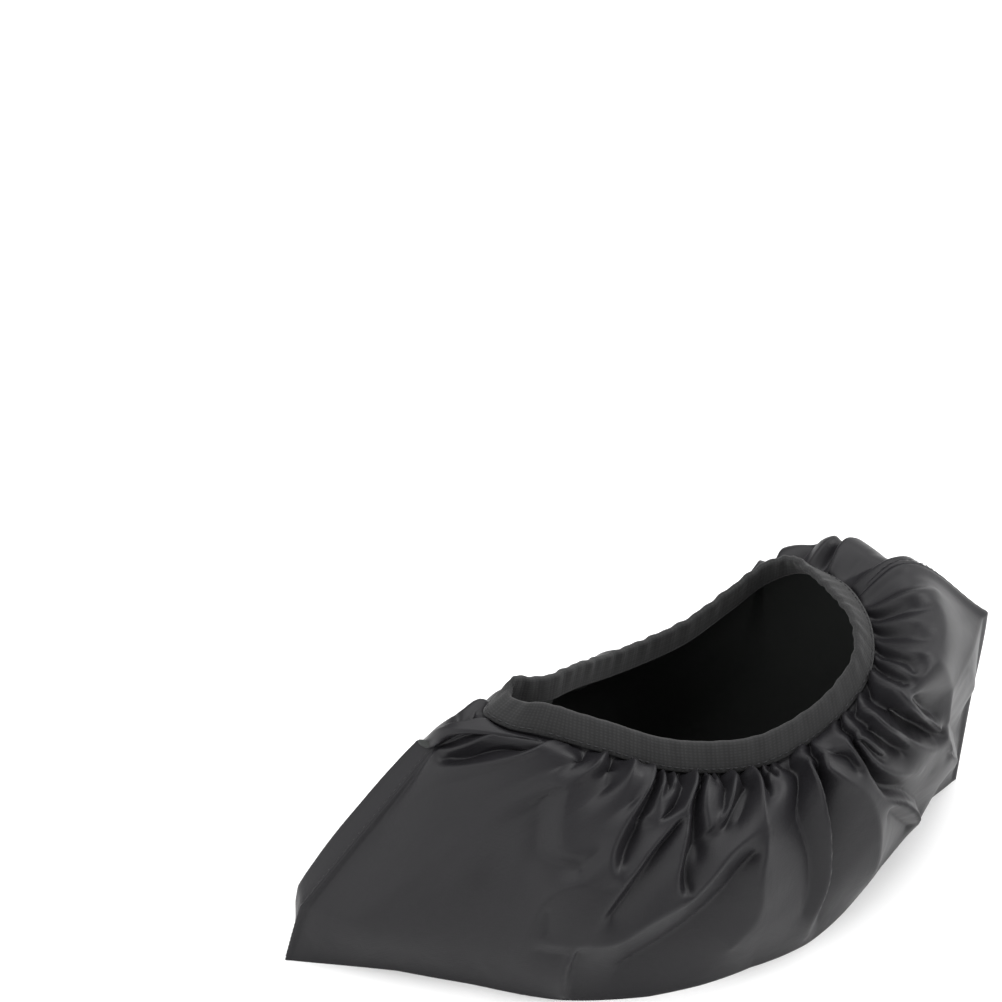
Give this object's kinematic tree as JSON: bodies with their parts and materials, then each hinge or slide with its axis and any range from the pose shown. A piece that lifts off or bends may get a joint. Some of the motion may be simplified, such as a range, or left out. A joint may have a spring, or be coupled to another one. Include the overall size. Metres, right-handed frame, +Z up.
{
  "type": "skate boot cover",
  "caption": "Pull-on overshoe cover of coated cloth with a pointed toe, flat sole and gathered oval opening edged in elastic binding.",
  "frame": {"origin": "centre of the bounding box on the floor under the sole", "axes": "+X runs from the toe to the heel, +Z is up, and +Y is towards the far side panel"},
  "size_m": [0.3075, 0.1541, 0.123],
  "materials": {
    "coated_cloth": "charcoal coated nylon with a soft satin sheen",
    "sole_cloth": "darker coated nylon, matt",
    "knitted_elastic": "dark grey knitted elastic tape, matt"
  },
  "bodies": {
    "root": {"side_panel_near": "coated_cloth", "side_panel_far": "coated_cloth", "sole_panel": "sole_cloth", "rim_binding": "knitted_elastic"}
  },
  "joints": []
}
